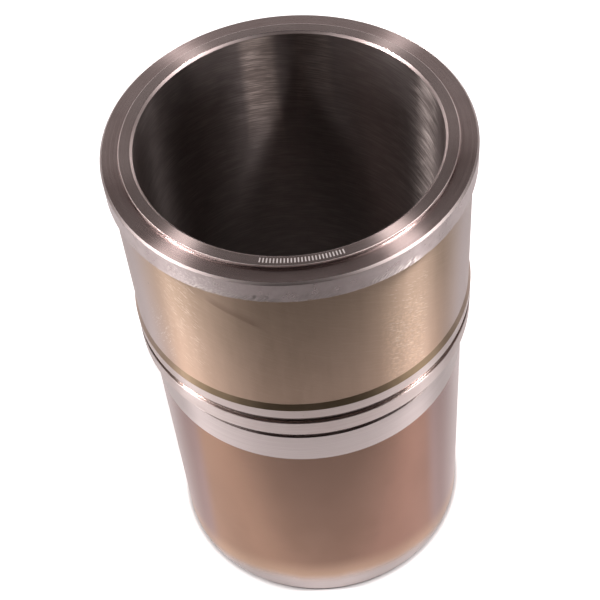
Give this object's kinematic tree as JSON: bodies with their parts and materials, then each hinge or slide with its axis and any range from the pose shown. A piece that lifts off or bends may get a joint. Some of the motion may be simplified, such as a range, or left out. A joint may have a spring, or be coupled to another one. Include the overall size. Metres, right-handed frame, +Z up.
{
  "type": "cylinder liner",
  "caption": "Wet cylinder liner: flanged iron tube with raised fire ring, tapered lead-in, grooved guide land and honed through bore.",
  "frame": {"origin": "centre of the lower end face, on the bore axis", "axes": "+Z up the bore axis towards the flange; +X and +Y are equal, because the part is turned"},
  "size_m": [0.154, 0.154, 0.254],
  "materials": {
    "liner_iron": "turned and honed, with a brown oxide film and bare machined lands"
  },
  "bodies": {
    "root": {"cylinder_liner": "liner_iron"}
  },
  "joints": []
}
